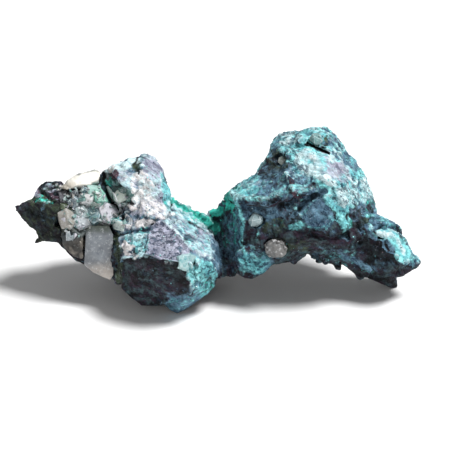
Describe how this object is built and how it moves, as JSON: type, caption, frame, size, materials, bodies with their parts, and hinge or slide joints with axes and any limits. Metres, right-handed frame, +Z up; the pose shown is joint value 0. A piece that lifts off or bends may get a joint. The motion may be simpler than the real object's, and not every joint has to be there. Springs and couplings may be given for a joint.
{
  "type": "mineral specimen",
  "caption": "Knotty two-lobed hand specimen of crusted native copper crystals with a calcite matrix and small calcite grains set in it.",
  "frame": {"origin": "middle of the bounding box, on the flats the specimen rests on", "axes": "+X along the specimen towards the pointed end with the spur, -Y out of the show face towards the viewer, +Z up"},
  "size_m": [0.0714, 0.0304, 0.0292],
  "materials": {
    "copper_crust": "matte",
    "calcite": "satin"
  },
  "bodies": {
    "root": {"copper_mass": "copper_crust", "calcite_matrix": "calcite", "calcite_grain_upper": "calcite", "calcite_grain_lower": "calcite", "calcite_grain_crest": "calcite", "calcite_grain_cavity": "calcite"}
  },
  "joints": []
}
